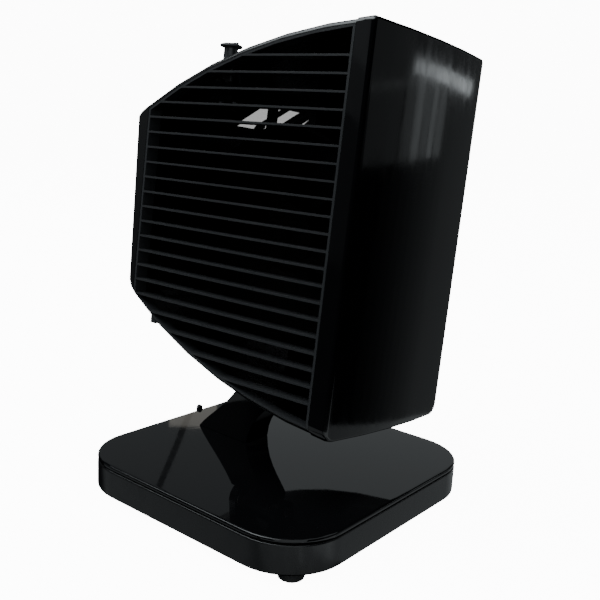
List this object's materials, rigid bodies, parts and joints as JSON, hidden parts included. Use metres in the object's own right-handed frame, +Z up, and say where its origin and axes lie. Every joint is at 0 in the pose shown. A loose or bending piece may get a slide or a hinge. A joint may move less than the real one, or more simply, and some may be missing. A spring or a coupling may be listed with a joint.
{
  "type": "air circulator fan",
  "caption": "Desk air circulator: tall glossy head with slatted arched sides and a smooth end face, on a tilting neck and a square base.",
  "frame": {"origin": "centre of the square base, on the surface it stands on", "axes": "+Z up; +X is the way the smooth end face looks; air blows along Y, and the tilt hinge is parallel to X"},
  "size_m": [0.253, 0.25, 0.3911],
  "materials": {
    "black_gloss": "high gloss black",
    "black_satin": "satin black",
    "black_plain": "plain black moulding",
    "rubber": "black rubber",
    "steel": "bright fastener steel",
    "zinc": "zinc plated sheet steel",
    "lamination": "varnished core plates",
    "bronze": "sintered bronze",
    "nylon": "natural nylon"
  },
  "bodies": {
    "base": {"base_cover": "black_gloss", "base_body": "black_satin", "ballast_plate": "zinc", "foot_1": "rubber", "foot_2": "rubber", "foot_3": "rubber", "foot_4": "rubber", "foot_screw_1": "steel", "foot_screw_2": "steel", "foot_screw_3": "steel", "foot_screw_4": "steel", "cord_gland": "black_plain", "neck": "black_gloss", "neck_screw_1": "steel", "neck_screw_2": "steel", "neck_screw_3": "steel"},
    "head": {"hinge_bolt": "steel", "hinge_nut": "steel", "friction_washer_rear": "nylon", "friction_washer_front": "nylon", "front_cover": "black_gloss", "rear_cover": "black_satin", "top_shell": "black_satin", "bottom_shell": "black_satin", "grille_left": "black_satin", "grille_right": "black_satin", "duct_ring": "black_plain", "motor_bracket": "black_plain", "bracket_screw_1": "steel", "bracket_screw_2": "steel", "bracket_screw_3": "steel", "bracket_screw_4": "steel", "motor_front_housing": "zinc", "motor_rear_housing": "zinc", "stator_core": "lamination", "bearing_front": "bronze", "bearing_rear": "bronze", "speed_switch": "black_plain", "switch_screw_1": "steel", "switch_screw_2": "steel"},
    "rotor": {"motor_shaft": "steel", "rotor_core": "zinc", "impeller": "black_gloss", "hub_nut": "black_plain"},
    "knob": {"switch_spindle": "steel", "speed_knob": "black_gloss"}
  },
  "joints": [
    {"name": "head_tilt", "type": "hinge", "parent": "base", "child": "head", "pos_m": [-0.022, 0.0038, 0.0944], "axis": [1, 0, 0], "range_deg": [-20, 15]},
    {"name": "impeller_spin", "type": "hinge", "parent": "head", "child": "rotor", "pos_m": [-0.004, 0.01616, 0.22281], "axis": [0, 0.9954, -0.0958], "continuous": true},
    {"name": "knob_turn", "type": "hinge", "parent": "head", "child": "knob", "pos_m": [-0.0405, -0.03688, 0.36052], "axis": [0, 0.0958, 0.9954], "range_deg": [-135, 0]}
  ]
}
